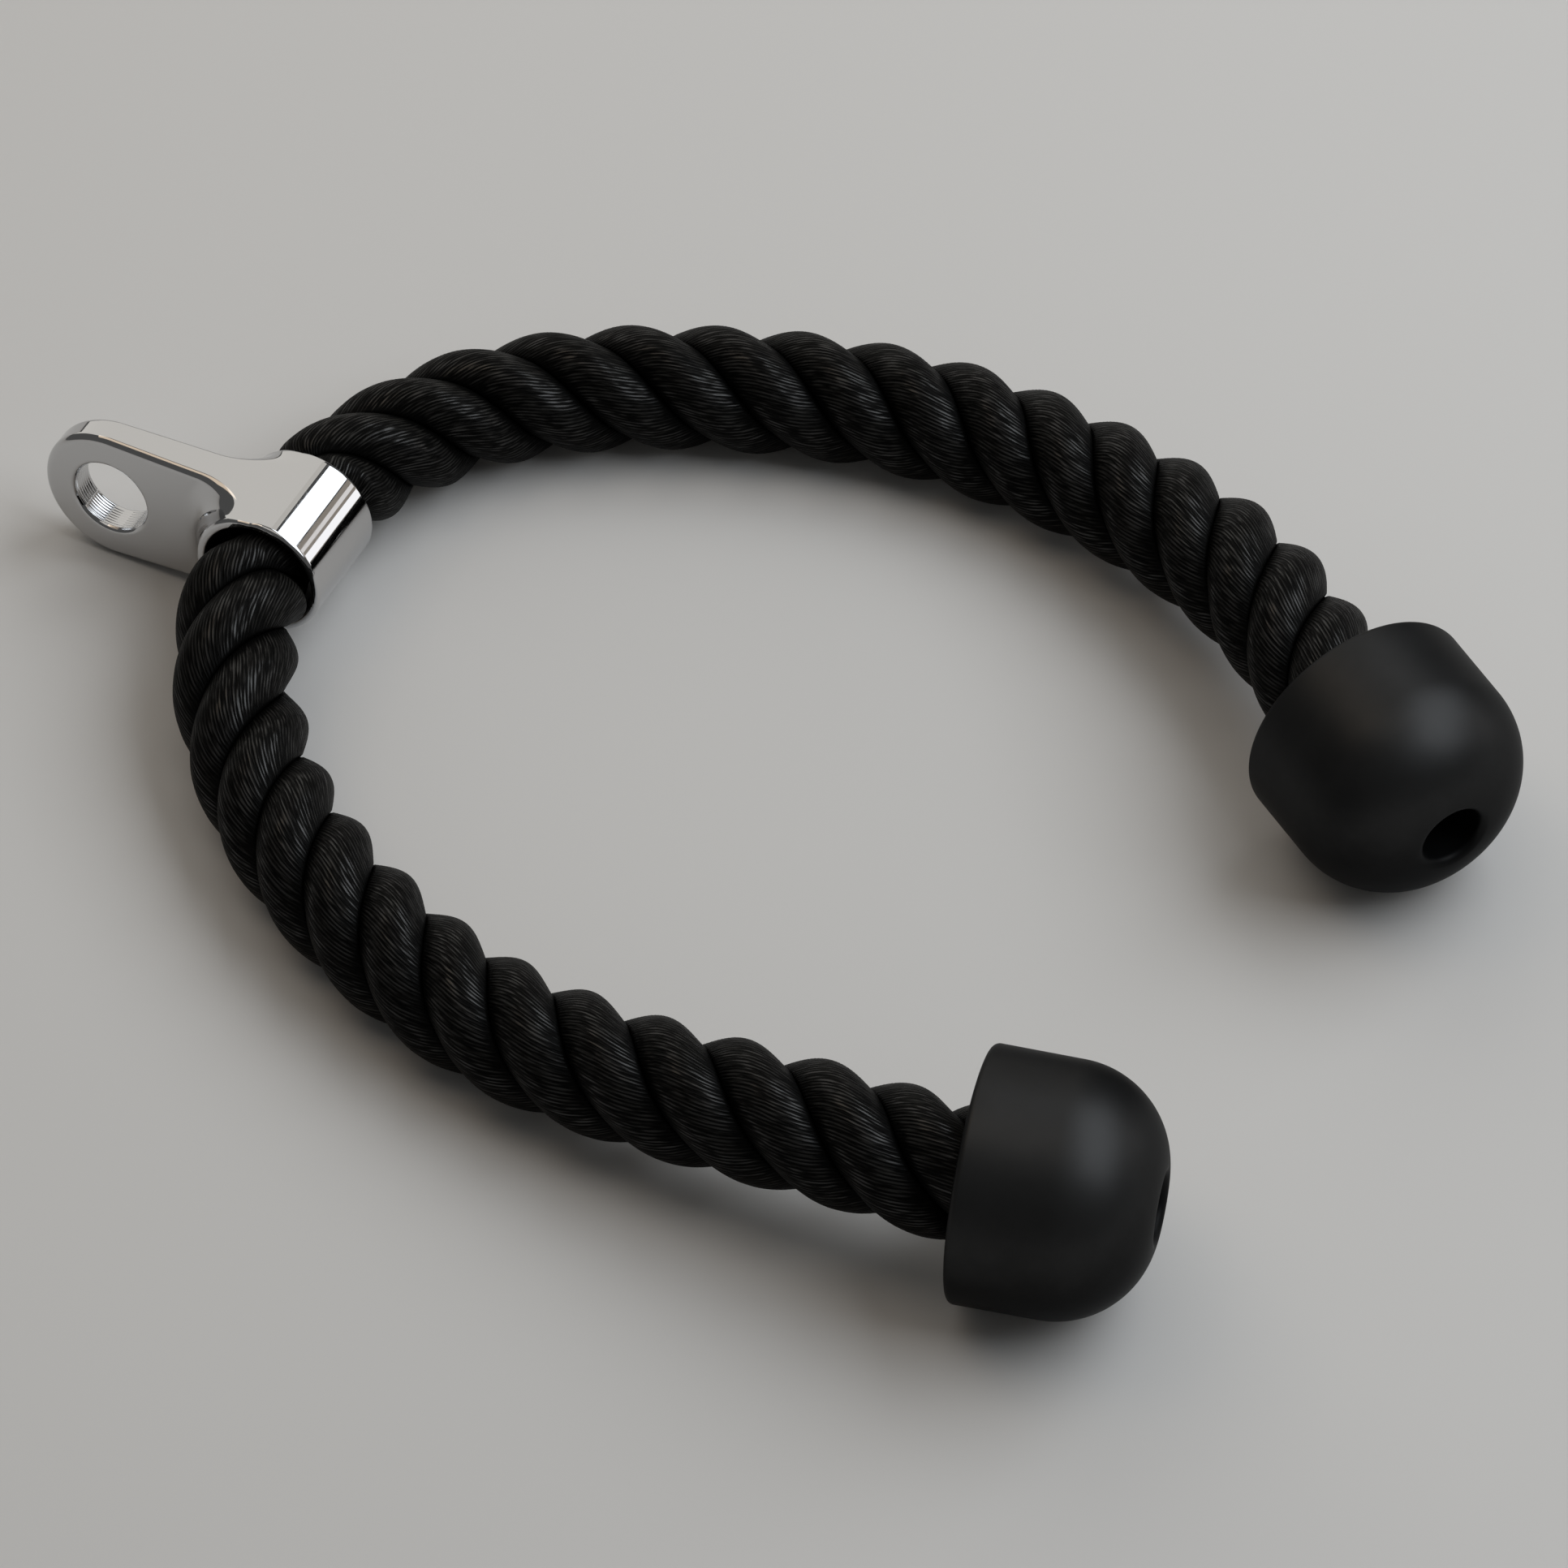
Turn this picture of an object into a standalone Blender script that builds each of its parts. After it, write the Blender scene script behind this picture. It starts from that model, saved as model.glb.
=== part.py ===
"""Triceps rope attachment: a three-strand rope through a chromed collar with an eye, and a rubber cap
screwed onto each end. Metres, +Z up, lying on the ground plane z = 0. The collar's tube runs along Y, its
eye points to -X, and the rope's two arms run out of the tube and round towards +X."""
import math

import bmesh
import bpy
import numpy as np
from mathutils import Matrix, Vector

# Rope: three strands laid up right-handed, squeezed where it passes the collar and fuller at its ends
STRANDS = 3
ROPE_LAY = 0.060            # length in which a strand goes once round the rope
ROPE_RADIUS_MIDDLE = 0.0145  # outside of the strands next to the collar
ROPE_RADIUS_END = 0.0158    # the same next to the caps
ROPE_HEART_RADIUS = 0.0019  # small hole left down the middle of the rope
STRAND_GAP = 0.0004         # clearance between neighbouring strands
STRAND_WIDTH_SHARE = 0.62   # most half width of a strand, as a share of the rope's radius
STRAND_POINTS = 10          # points round one strand
ROWS_PER_TURN = 12          # sections in one lay of a strand
STRAND_ANGLE = math.radians(34.5)   # where the first strand lies at the collar's middle, towards the far arm
COLLAR_UNTWIST = math.radians(32.0)  # how much less the strands turn where the tube grips them

# Collar: one casting of a tube that the rope passes and a flat plate with a round eye
TUBE_LENGTH = 0.0280
TUBE_WALL = 0.0021
TUBE_SQUEEZE = 0.0011       # how much the rope's radius shrinks inside the tube
TUBE_CLEARANCE = 0.0004     # between the squeezed rope and the bore
TUBE_TILT = math.radians(4.5)   # the tube lies with its mouth towards the near arm raised
EYE_DROOP = math.radians(2.2)   # and the eye leans down to the ground
EYE_HOLE_RADIUS = 0.0096
EYE_RING = 0.00815          # metal between the hole and the plate's round end
EYE_REACH = 0.0443          # from the tube's axis to the hole's centre
PLATE_THICKNESS = 0.0072    # at the eye's tip
PLATE_ROOT_THICKNESS = 0.0098  # where the plate starts to widen to the tube
FLARE_LAND = 0.0003         # flat step at each mouth, outside which the plate's hollow flare begins
EDGE_ROUND = 0.0011         # rounding on the casting's edges
CASTING_SEGMENTS = 52       # steps in which the casting's flares and bore are turned

# Rope's route: the straight piece in the collar, then each arm's line on the ground
COLLAR_AT = (-0.1149, 0.0096)       # the tube's middle on the ground plane
STRAIGHT_BEYOND_TUBE = 0.0030       # straight rope past each mouth of the tube
SETTLE_LENGTH = 0.0600              # from a mouth to where the rope lies on the ground
ARM_REACH = 0.2500                  # from the collar's middle to the far arm's cap, along X
FAR_ARM_SHARES = (
    (0.0136, 0.1320), (0.0384, 0.1904), (0.0740, 0.2416), (0.1428, 0.2988), (0.2200, 0.3424),
    (0.3044, 0.3764), (0.3896, 0.4012), (0.4796, 0.4144), (0.5684, 0.4124), (0.6560, 0.3948),
    (0.7408, 0.3640), (0.8196, 0.3244), (0.8784, 0.2844), (0.9272, 0.2420), (0.9672, 0.2072),
    (0.9964, 0.1856),
)
NEAR_ARM_SHARES = (
    (0.0096, -0.1088), (0.0288, -0.1568), (0.0584, -0.2040), (0.1044, -0.2564), (0.1612, -0.3072),
    (0.2372, -0.3568), (0.3192, -0.3956), (0.4036, -0.4236), (0.4912, -0.4412), (0.5808, -0.4496),
    (0.6712, -0.4524), (0.7604, -0.4512), (0.8252, -0.4512), (0.8648, -0.4504), (0.8976, -0.4448),
)
RISE_LENGTH = 0.1350        # length over which the rope climbs from the ground into a cap
GROUND_CLEARANCE = 0.0002   # air under the lying rope
ROUTE_STEP = 0.0010         # spacing at which the smooth line is measured

# Hinges: where each arm bends away from the collar, the rope is parted on a ball round the hinge
HINGE_BEYOND_TUBE = 0.0040  # from the tube's mouth to the hinge
HINGE_BALL_RADIUS = 0.0200
HINGE_GAP = 0.0008          # between the ball on the rope's middle and the cup on the arm
BALL_RING_SHARE = 0.5       # where a middle ring of points lies on a parted strand's end
BALL_HALVINGS = 30          # halvings in which a strand's crossing of a ball is found

# Rubber cap
CAP_LENGTH = 0.0422
CAP_MOUTH_RADIUS = 0.0286
CAP_TAPER = math.radians(0.3)
CAP_SHOULDER_RADIUS = 0.0222
CAP_LIP_ROUND = 0.0016
CAP_ROPE_CLEARANCE = 0.0004
CAP_WEB = 0.0050            # rubber left between the rope's bore and the recess in the tip
RECESS_RADIUS = 0.0074
RECESS_DEPTH = 0.0150
RECESS_LIP_ROUND = 0.0018
CAP_SEGMENTS = 36

# Crimp ring on the rope's end, washer and coach screw
CRIMP_LENGTH = 0.0110
CRIMP_WALL = 0.0012
CRIMP_SQUEEZE = 0.0018      # how much the ring presses the rope's radius in
CRIMP_EDGE = 0.0004
END_CLEARANCE = 0.0003      # between pieces that seat on each other
WASHER_RADIUS = 0.0068
WASHER_THICKNESS = 0.0015
SCREW_RADIUS = 0.0030
SCREW_IN_ROPE = 0.0180
SCREW_POINT = 0.0050
SCREW_HOLE_CLEARANCE = 0.0004
HEAD_FLATS = 0.0100         # width across the flats of the hexagon
HEAD_HEIGHT = 0.0040
HEAD_EDGE = 0.0006
SMALL_SEGMENTS = 24

CUT_OVERRUN = 0.0020        # how far every cutting shape runs past what it cuts
SMOOTH_ANGLE = math.radians(35.0)

# Sizes that follow from those above
ROPE_RADIUS_IN_TUBE = ROPE_RADIUS_MIDDLE - TUBE_SQUEEZE
BORE_RADIUS = ROPE_RADIUS_IN_TUBE + TUBE_CLEARANCE
TUBE_RADIUS = BORE_RADIUS + TUBE_WALL
EYE_RADIUS = EYE_HOLE_RADIUS + EYE_RING
HALF_TUBE = TUBE_LENGTH / 2
FLARE_RADIUS = HALF_TUBE - PLATE_ROOT_THICKNESS / 2
EYE_CORNER_HEIGHT = EYE_RADIUS * math.cos(TUBE_TILT) + PLATE_THICKNESS / 2 * math.sin(TUBE_TILT)
TUBE_AXIS_HEIGHT = EYE_CORNER_HEIGHT + EYE_REACH * math.sin(EYE_DROOP)
HINGE_STATION = HALF_TUBE + HINGE_BEYOND_TUBE
CAP_BORE_RADIUS = ROPE_RADIUS_END + CAP_ROPE_CLEARANCE
CAP_BORE_DEPTH = CAP_LENGTH - RECESS_DEPTH - CAP_WEB
ROPE_IN_CAP = CAP_BORE_DEPTH - END_CLEARANCE
CRIMPED_RADIUS = ROPE_RADIUS_END - CRIMP_SQUEEZE
CRIMP_START = ROPE_IN_CAP - CRIMP_LENGTH
SCREW_HOLE_RADIUS = SCREW_RADIUS + SCREW_HOLE_CLEARANCE
WASHER_AT = CAP_BORE_DEPTH + CAP_WEB + END_CLEARANCE
HEAD_AT = WASHER_AT + WASHER_THICKNESS + END_CLEARANCE


def material(name, colour, metallic, roughness):
    """A plain finish."""
    mat = bpy.data.materials.new(name)
    mat.use_nodes = True
    shader = mat.node_tree.nodes["Principled BSDF"]
    shader.inputs["Base Color"].default_value = (*colour, 1.0)
    shader.inputs["Metallic"].default_value = metallic
    shader.inputs["Roughness"].default_value = roughness
    return mat


def new_object(name, bm, mat, parent=None):
    """Turns a bmesh into a smooth-shaded object."""
    mesh = bpy.data.meshes.new(name)
    bm.to_mesh(mesh)
    bm.free()
    mesh.materials.append(mat)
    mesh.shade_smooth()
    mesh.set_sharp_from_angle(angle=SMOOTH_ANGLE)
    obj = bpy.data.objects.new(name, mesh)
    bpy.context.scene.collection.objects.link(obj)
    obj.parent = parent
    return obj


def prism(outline, low, high):
    """A closed bmesh: the outline in the XY plane, drawn up from low to high."""
    bm = bmesh.new()
    base = bm.faces.new([bm.verts.new((x, y, low)) for x, y in outline])
    drawn = bmesh.ops.extrude_face_region(bm, geom=[base])
    top = [item for item in drawn["geom"] if isinstance(item, bmesh.types.BMVert)]
    bmesh.ops.translate(bm, verts=top, vec=(0, 0, high - low))
    bmesh.ops.recalc_face_normals(bm, faces=bm.faces)
    return bm


def turned(profile, segments):
    """A closed bmesh turned about Z from a closed loop of (height, radius) points."""
    bm = bmesh.new()
    rings = []
    for step in range(segments):
        angle = 2 * math.pi * step / segments
        ring = []
        for height, radius in profile:
            ring.append(bm.verts.new((radius * math.cos(angle), radius * math.sin(angle), height)))
        rings.append(ring)
    count = len(profile)
    for step, ring in enumerate(rings):
        after = rings[(step + 1) % segments]
        for i in range(count):
            j = (i + 1) % count
            bm.faces.new((ring[i], ring[j], after[j], after[i]))
    bmesh.ops.recalc_face_normals(bm, faces=bm.faces)
    return bm


def spindle(profile, segments):
    """A closed bmesh turned about Z from (height, radius) points that begin and end on the axis."""
    bm = bmesh.new()
    first = bm.verts.new((0, 0, profile[0][0]))
    last = bm.verts.new((0, 0, profile[-1][0]))
    rings = []
    for height, radius in profile[1:-1]:
        ring = []
        for step in range(segments):
            angle = 2 * math.pi * step / segments
            ring.append(bm.verts.new((radius * math.cos(angle), radius * math.sin(angle), height)))
        rings.append(ring)
    for step in range(segments):
        after = (step + 1) % segments
        bm.faces.new((first, rings[0][after], rings[0][step]))
        bm.faces.new((last, rings[-1][step], rings[-1][after]))
        for low, high in zip(rings, rings[1:]):
            bm.faces.new((low[step], low[after], high[after], high[step]))
    bmesh.ops.recalc_face_normals(bm, faces=bm.faces)
    return bm


def arc(centre, radius, start, end, steps):
    """Points on an arc, both ends included."""
    points = []
    for i in range(steps + 1):
        angle = start + (end - start) * i / steps
        points.append((centre[0] + radius * math.cos(angle), centre[1] + radius * math.sin(angle)))
    return points


def cut(obj, cutter_bm, operation, name):
    """Adds a Boolean to obj with a hidden cutter."""
    mesh = bpy.data.meshes.new(name)
    cutter_bm.to_mesh(mesh)
    cutter_bm.free()
    cutter = bpy.data.objects.new(name, mesh)
    bpy.context.scene.collection.objects.link(cutter)
    cutter.parent = obj
    cutter.hide_render = True
    cutter.display_type = "WIRE"
    boolean = obj.modifiers.new(name, "BOOLEAN")
    boolean.operation = operation
    boolean.solver = "EXACT"
    boolean.object = cutter
    return cutter


class Route:
    """The rope's middle line as a smooth curve through hand-chosen points, measured from the collar."""

    def __init__(self):
        straight = HALF_TUBE + STRAIGHT_BEYOND_TUBE
        plan = [(x * ARM_REACH, y * ARM_REACH) for x, y in reversed(NEAR_ARM_SHARES)]
        plan += [(0, -straight), (0, -straight / 2), (0, 0), (0, straight / 2), (0, straight)]
        plan += [(x * ARM_REACH, y * ARM_REACH) for x, y in FAR_ARM_SHARES]
        middle = len(NEAR_ARM_SHARES) + 2
        knots = np.array(plan)
        chord = np.concatenate([[0], np.cumsum(np.linalg.norm(np.diff(knots, axis=0), axis=1))])
        fine = np.linspace(0, chord[-1], int(chord[-1] / ROUTE_STEP) + 1)
        line = np.stack([natural_spline(chord, knots[:, axis], fine) for axis in (0, 1)], axis=1)
        station = np.concatenate([[0], np.cumsum(np.linalg.norm(np.diff(line, axis=0), axis=1))])
        self.station = station - np.interp(chord[middle], fine, station)
        self.plan = line + np.array(COLLAR_AT)
        self.first = self.station[0]
        self.last = self.station[-1]

    def height(self, s):
        """The middle line's height: on the ground, up to the tube's axis, and up into each cap."""
        lying = rope_radius(s, self) + GROUND_CLEARANCE
        in_tube = TUBE_AXIS_HEIGHT - s * math.tan(TUBE_TILT)
        lying += (in_tube - lying) * smooth(1 - (abs(s) - HALF_TUBE) / SETTLE_LENGTH)
        to_cap = min(s - self.first, self.last - s)
        return lying + (CAP_MOUTH_RADIUS - lying) * smooth(1 - to_cap / RISE_LENGTH)

    def point(self, s):
        """A point on the middle line; past the ends it runs on straight, into the caps."""
        inside = min(max(s, self.first), self.last)
        x = np.interp(inside, self.station, self.plan[:, 0])
        y = np.interp(inside, self.station, self.plan[:, 1])
        place = Vector((x, y, self.height(inside)))
        if s < self.first:
            place -= self.end_direction(0) * (self.first - s)
        if s > self.last:
            place += self.end_direction(-1) * (s - self.last)
        return place

    def end_direction(self, end):
        """The level direction of travel at the near cap (0) or the far cap (-1)."""
        here, there = (self.plan[0], self.plan[1]) if end == 0 else (self.plan[-2], self.plan[-1])
        return Vector((*(there - here), 0)).normalized()

    def axes(self, s):
        """Travel direction, the side towards the inside of the bend, and up."""
        ahead = (self.point(s + ROUTE_STEP) - self.point(s - ROUTE_STEP)).normalized()
        side = ahead.cross(Vector((0, 0, 1))).normalized()
        return ahead, side, side.cross(ahead)


def smooth(share):
    """Eases from 0 to 1."""
    share = min(max(share, 0), 1)
    return share * share * (3 - 2 * share)


def natural_spline(knots, values, at):
    """A cubic spline through the values, free at both ends."""
    count = len(knots)
    step = np.diff(knots)
    slope = np.diff(values) / step
    matrix = np.eye(count)
    right = np.zeros(count)
    for i in range(1, count - 1):
        matrix[i, i - 1:i + 2] = step[i - 1], 2 * (step[i - 1] + step[i]), step[i]
        right[i] = 6 * (slope[i] - slope[i - 1])
    bend = np.linalg.solve(matrix, right)
    i = np.clip(np.searchsorted(knots, at) - 1, 0, count - 2)
    t = at - knots[i]
    first = slope[i] - step[i] * (2 * bend[i] + bend[i + 1]) / 6
    return values[i] + t * (first + t * (bend[i] / 2 + t * (bend[i + 1] - bend[i]) / (6 * step[i])))


def rope_radius(s, route):
    """The rope's outside radius at a station: squeezed in the tube and under each crimp ring."""
    arm = max(route.last, -route.first) - HALF_TUBE
    radius = ROPE_RADIUS_MIDDLE + (ROPE_RADIUS_END - ROPE_RADIUS_MIDDLE) * min(
        max((abs(s) - HALF_TUBE) / arm, 0), 1)
    radius -= TUBE_SQUEEZE * smooth(1 - (abs(s) - HALF_TUBE) / HINGE_BEYOND_TUBE)
    in_cap = max(s - route.last, route.first - s)
    radius += (CRIMPED_RADIUS - radius) * smooth(in_cap / CRIMP_START)
    return radius


def heart_radius(s, route):
    """The hole down the middle, wider where the coach screw is driven in."""
    in_cap = max(s - route.last, route.first - s) + SCREW_IN_ROPE - ROPE_IN_CAP
    wide = SCREW_HOLE_RADIUS
    return ROPE_HEART_RADIUS + (wide - ROPE_HEART_RADIUS) * smooth(1 + in_cap / SCREW_POINT)


def strand_angle(s, number):
    """Where a strand lies round the rope at a station; it turns clockwise seen along the travel."""
    untwist = COLLAR_UNTWIST * (smooth((s + HALF_TUBE) / TUBE_LENGTH) - 1)
    return STRAND_ANGLE + untwist + 2 * math.pi * (number / STRANDS - s / ROPE_LAY)


def strand_point(route, s, number, turn, share):
    """A point of a strand's oval section; share 1 is its surface and 0 its middle."""
    outer = rope_radius(s, route)
    inner = heart_radius(s, route)
    middle = (outer + inner) / 2
    deep = (outer - inner) / 2
    half_sector = math.pi / STRANDS
    room = middle * math.sin(half_sector) - STRAND_GAP / 2
    touching = math.sqrt(room ** 2 - (deep * math.sin(half_sector)) ** 2) / math.cos(half_sector)
    wide = min(touching, outer * STRAND_WIDTH_SHARE)
    along = middle + share * deep * math.cos(turn)
    across = share * wide * math.sin(turn)
    angle = strand_angle(s, number)
    ahead, side, up = route.axes(s)
    offset = side * (along * math.cos(angle) - across * math.sin(angle))
    offset += up * (along * math.sin(angle) + across * math.cos(angle))
    return route.point(s) + offset


def on_ball(route, hinge, radius, outward, number, turn, share):
    """The station at which a point of a strand crosses a ball round a hinge."""
    near, far = 0, radius + ROPE_RADIUS_END
    for _ in range(BALL_HALVINGS):
        middle = (near + far) / 2
        place = strand_point(route, outward * (HINGE_STATION + middle), number, turn, share)
        if (place - hinge).length < radius:
            near = middle
        else:
            far = middle
    return outward * (HINGE_STATION + near)


def strand(route, name, number, start, end, mat, parent):
    """One stretch of a strand. start and end are each a station, or a ball as (hinge, radius, side)."""
    turns = [2 * math.pi * i / STRAND_POINTS for i in range(STRAND_POINTS)]

    def stations(limit):
        if isinstance(limit, tuple):
            return [on_ball(route, *limit, number, turn, 1) for turn in turns]
        return [limit] * STRAND_POINTS

    first = stations(start)
    last = stations(end)
    rows = round((max(last) - max(first)) / ROPE_LAY * ROWS_PER_TURN)
    bm = bmesh.new()
    rings = []
    for row in range(rows + 1):
        ring = []
        for low, high, turn in zip(first, last, turns):
            s = low + (high - low) * row / rows
            ring.append(bm.verts.new(strand_point(route, s, number, turn, 1)))
        rings.append(ring)
    for low_ring, high_ring in zip(rings, rings[1:]):
        for i in range(STRAND_POINTS):
            j = (i + 1) % STRAND_POINTS
            if math.cos(turns[i]) < math.cos(turns[j]):
                bm.faces.new((low_ring[i], low_ring[j], high_ring[j]))
                bm.faces.new((low_ring[i], high_ring[j], high_ring[i]))
            else:
                bm.faces.new((low_ring[i], low_ring[j], high_ring[i]))
                bm.faces.new((low_ring[j], high_ring[j], high_ring[i]))
    for ring, limit in ((rings[0], start), (rings[-1], end)):
        close_end(route, bm, ring, number, turns, limit)
    bmesh.ops.recalc_face_normals(bm, faces=bm.faces)
    origin = Vector(parent.location)
    bmesh.ops.translate(bm, verts=bm.verts, vec=-origin)
    return new_object(name, bm, mat, parent)


def close_end(route, bm, ring, number, turns, limit):
    """Closes a strand's end, flat or following the ball on which it is parted."""
    if not isinstance(limit, tuple):
        bm.faces.new(ring)
        return
    half = []
    for turn in turns:
        s = on_ball(route, *limit, number, turn, BALL_RING_SHARE)
        half.append(bm.verts.new(strand_point(route, s, number, turn, BALL_RING_SHARE)))
    s = on_ball(route, *limit, number, 0, 0)
    centre = bm.verts.new(strand_point(route, s, number, 0, 0))
    for i in range(STRAND_POINTS):
        j = (i + 1) % STRAND_POINTS
        bm.faces.new((ring[i], ring[j], half[j], half[i]))
        bm.faces.new((half[i], half[j], centre))


def eye_outline():
    """Side view of the casting in its X and Z: the tube's circle joined to the eye's round end."""
    lean = math.acos((TUBE_RADIUS - EYE_RADIUS) / EYE_REACH)
    outline = arc((0, 0), TUBE_RADIUS, -math.pi + lean, math.pi - lean, 30)
    outline += arc((-EYE_REACH, 0), EYE_RADIUS, math.pi - lean, math.pi + lean, 18)
    return outline


def casting_profile():
    """The casting's turned section as a closed loop of (place along the tube, radius)."""
    foot = TUBE_RADIUS + FLARE_LAND
    tip = EYE_REACH + EYE_RADIUS + CUT_OVERRUN
    upper = [(HALF_TUBE, BORE_RADIUS)]
    upper += arc((HALF_TUBE, foot + FLARE_RADIUS), FLARE_RADIUS, -math.pi / 2, -math.pi, 6)
    upper += [(PLATE_THICKNESS / 2, tip)]
    return upper + [(-y, radius) for y, radius in reversed(upper)]


def make_collar(mat, parent):
    """The chromed casting, centred on its tube's axis: turned flares and bore, cut to the side outline."""
    across = Matrix.Rotation(math.pi / 2, 3, "X")
    half_step = Matrix.Rotation(math.pi / CASTING_SEGMENTS, 3, "Z")
    body = turned(casting_profile(), CASTING_SEGMENTS)
    bmesh.ops.rotate(body, verts=body.verts, matrix=across @ half_step)
    obj = new_object("eye_collar", body, mat, parent)
    tilted = Matrix.Rotation(-TUBE_TILT, 3, "X") @ Matrix.Rotation(-EYE_DROOP, 3, "Y")
    obj.rotation_mode = "QUATERNION"
    obj.rotation_quaternion = tilted.to_quaternion()
    eye = arc((-EYE_REACH, 0), EYE_HOLE_RADIUS, 0, 2 * math.pi, 28)[:-1]
    for name, outline, operation in (
            ("side_cutter", eye_outline(), "INTERSECT"), ("eye_cutter", eye, "DIFFERENCE")):
        cutter = prism(outline, -HALF_TUBE - CUT_OVERRUN, HALF_TUBE + CUT_OVERRUN)
        bmesh.ops.rotate(cutter, verts=cutter.verts, matrix=across)
        cut(obj, cutter, operation, name)
    bevel = obj.modifiers.new("rounded_edges", "BEVEL")
    bevel.width = EDGE_ROUND
    bevel.segments = 2
    bevel.limit_method = "ANGLE"
    bevel.angle_limit = SMOOTH_ANGLE
    return obj


def cap_profile():
    """The rubber cap's section as a closed loop of (depth from the mouth, radius)."""
    side = math.pi / 2 - CAP_TAPER
    shoulder = min(CAP_SHOULDER_RADIUS, CAP_MOUTH_RADIUS)
    shoulder_at = CAP_LENGTH - shoulder
    side_at_shoulder = CAP_MOUTH_RADIUS - (shoulder_at + shoulder * math.cos(side)) * math.tan(CAP_TAPER)
    middle = side_at_shoulder - shoulder * math.sin(side)
    lip = CAP_LIP_ROUND
    recess_lip = RECESS_LIP_ROUND
    recess_edge = RECESS_RADIUS + recess_lip
    bulge = shoulder - recess_lip
    dip = math.asin(max(recess_edge - middle, 0) / bulge)
    outside = arc((lip, CAP_MOUTH_RADIUS - lip), lip, math.pi, side, 3)
    outside += arc((shoulder_at, middle), shoulder, side, dip, 8)
    recess = arc((shoulder_at + bulge * math.cos(dip), recess_edge), recess_lip, dip, -math.pi / 2, 3)
    recess += [(CAP_LENGTH - RECESS_DEPTH, RECESS_RADIUS), (CAP_LENGTH - RECESS_DEPTH, SCREW_HOLE_RADIUS)]
    bore = [(CAP_BORE_DEPTH, SCREW_HOLE_RADIUS), (CAP_BORE_DEPTH, CAP_BORE_RADIUS)]
    mouth = arc((lip, CAP_BORE_RADIUS + lip), lip, -math.pi / 2, -math.pi, 3)
    return outside + recess + bore + mouth


def crimp_profile():
    """The steel ring's section, its edges broken."""
    inner = CRIMPED_RADIUS + END_CLEARANCE
    outer = inner + CRIMP_WALL
    end = CRIMP_START + CRIMP_LENGTH - END_CLEARANCE
    edge = CRIMP_EDGE
    return [(CRIMP_START, inner + edge), (CRIMP_START, outer - edge), (CRIMP_START + edge, outer),
            (end - edge, outer), (end, outer - edge), (end, inner + edge), (end - edge, inner),
            (CRIMP_START + edge, inner)]


def washer_profile():
    """The washer's section."""
    hole = SCREW_HOLE_RADIUS
    return [(WASHER_AT, hole), (WASHER_AT, WASHER_RADIUS), (WASHER_AT + WASHER_THICKNESS, WASHER_RADIUS),
            (WASHER_AT + WASHER_THICKNESS, hole)]


def make_screw(name, mat, parent):
    """The coach screw: a hexagon head with broken corners on a pointed shank."""
    tip = ROPE_IN_CAP - SCREW_IN_ROPE
    shank = [(tip, 0), (tip + SCREW_POINT, SCREW_RADIUS), (HEAD_AT + HEAD_HEIGHT / 2, SCREW_RADIUS),
             (HEAD_AT + HEAD_HEIGHT / 2, 0)]
    obj = new_object(name, spindle(shank, SMALL_SEGMENTS), mat, parent)
    corner = HEAD_FLATS / math.sqrt(3)
    hexagon = arc((0, 0), corner, 0, 2 * math.pi, 6)[:-1]
    head = prism(hexagon, HEAD_AT, HEAD_AT + HEAD_HEIGHT)
    top = [vert for vert in head.verts if vert.co.z > HEAD_AT + HEAD_HEIGHT / 2]
    rim = [edge for edge in head.edges if all(vert in top for vert in edge.verts)]
    bmesh.ops.bevel(head, geom=rim, offset=HEAD_EDGE, segments=1, affect="EDGES")
    cut(obj, head, "UNION", name + "_head")
    return obj


def hinge_empty(name, place):
    """An empty on a joint's axis, which carries the pieces that turn about it."""
    empty = bpy.data.objects.new(name, None)
    empty.location = place
    bpy.context.scene.collection.objects.link(empty)
    return empty


def make_end(route, arm, hinge, mats):
    """Cap, crimp ring, washer and coach screw on one end of the rope, built along their own Z axis."""
    far = arm == "far"
    mouth = route.point(route.last if far else route.first)
    outward = route.end_direction(-1) if far else -route.end_direction(0)
    up = Vector((0, 0, 1))
    facing = Matrix((up.cross(outward), up, outward)).transposed()
    seat = bpy.data.objects.new(arm + "_cap_seat", None)
    seat.parent = hinge
    seat.location = mouth - Vector(hinge.location)
    seat.rotation_euler = facing.to_euler()
    bpy.context.scene.collection.objects.link(seat)
    new_object(arm + "_rubber_cap", turned(cap_profile(), CAP_SEGMENTS), mats["rubber"], seat)
    new_object(arm + "_crimp_ring", turned(crimp_profile(), CAP_SEGMENTS), mats["steel"], seat)
    new_object(arm + "_washer", turned(washer_profile(), SMALL_SEGMENTS), mats["steel"], seat)
    make_screw(arm + "_coach_screw", mats["dark_steel"], seat)


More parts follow.
